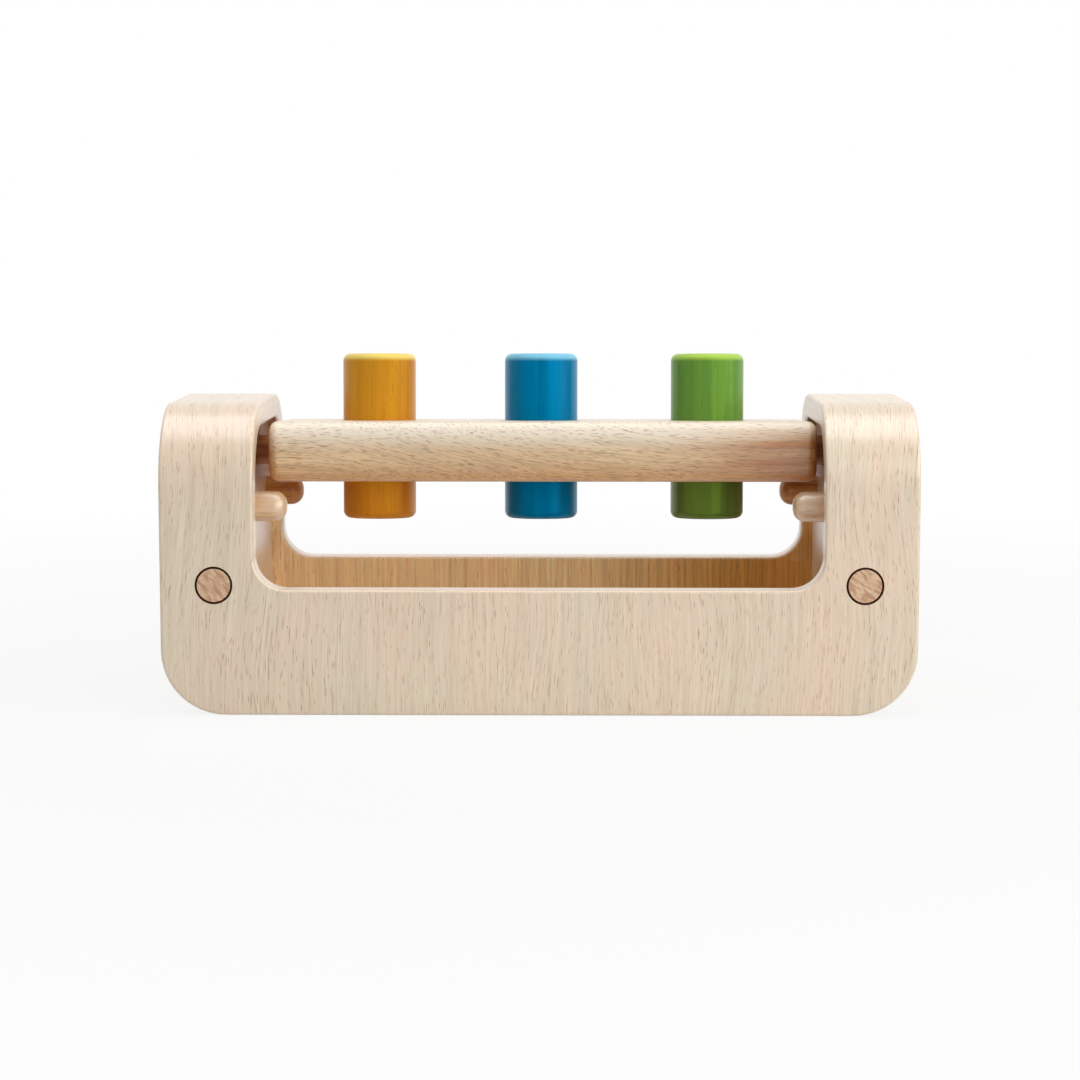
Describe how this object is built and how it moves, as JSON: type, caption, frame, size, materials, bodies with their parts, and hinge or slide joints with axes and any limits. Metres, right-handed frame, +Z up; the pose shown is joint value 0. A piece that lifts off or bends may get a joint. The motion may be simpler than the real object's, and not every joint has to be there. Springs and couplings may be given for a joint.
{
  "type": "peg pounding bench",
  "caption": "Wooden toy bench: a bent plywood arch holds a lift-and-turn beam whose round pegs are hammered through from one side to the other.",
  "frame": {"origin": "middle of the footprint, on the surface that the bench stands on", "axes": "+X runs along the beam, from the yellow peg to the green one; -Y is the front, where the long wall faces the viewer; +Z is up"},
  "size_m": [0.245, 0.096, 0.1155],
  "materials": {
    "plywood": "pale open-pored veneer, clear satin lacquer",
    "board_wood": "straight grain, clear satin lacquer",
    "dowel_wood": "turned, sanded, clear satin lacquer",
    "beam_wood": "planed and rounded, clear satin lacquer",
    "yellow_stain": "yellow water stain under gloss lacquer",
    "blue_stain": "blue water stain under gloss lacquer",
    "green_stain": "green water stain under gloss lacquer",
    "ring_rubber": "matt moulded rubber"
  },
  "bodies": {
    "frame": {"bent_ply_frame": "plywood", "left_end_board": "board_wood", "right_end_board": "board_wood", "front_left_dowel": "dowel_wood", "front_right_dowel": "dowel_wood", "back_left_dowel": "dowel_wood", "back_right_dowel": "dowel_wood", "front_left_stop_pin": "dowel_wood", "front_right_stop_pin": "dowel_wood", "back_left_stop_pin": "dowel_wood", "back_right_stop_pin": "dowel_wood"},
    "axles": {"left_axle": "dowel_wood", "right_axle": "dowel_wood"},
    "beam": {"peg_beam": "beam_wood", "yellow_grip_ring": "ring_rubber", "blue_grip_ring": "ring_rubber", "green_grip_ring": "ring_rubber"},
    "yellow_peg": {"yellow_peg": "yellow_stain"},
    "blue_peg": {"blue_peg": "blue_stain"},
    "green_peg": {"green_peg": "green_stain"}
  },
  "joints": [
    {"name": "beam_lift", "type": "slide", "parent": "frame", "child": "axles", "axis": [0, 0, 1], "range_m": [0, 0.0044]},
    {"name": "beam_rock", "type": "hinge", "parent": "axles", "child": "beam", "pos_m": [0, 0, 0.0825], "axis": [1, 0, 0], "range_deg": [-2.7, 9.3]},
    {"name": "yellow_peg_slide", "type": "slide", "parent": "beam", "child": "yellow_peg", "axis": [0, 0.0576, 0.9983], "range_m": [-0.0224, 0.013]},
    {"name": "blue_peg_slide", "type": "slide", "parent": "beam", "child": "blue_peg", "axis": [0, 0.0576, 0.9983], "range_m": [-0.0224, 0.013]},
    {"name": "green_peg_slide", "type": "slide", "parent": "beam", "child": "green_peg", "axis": [0, 0.0576, 0.9983], "range_m": [-0.0224, 0.013]}
  ]
}
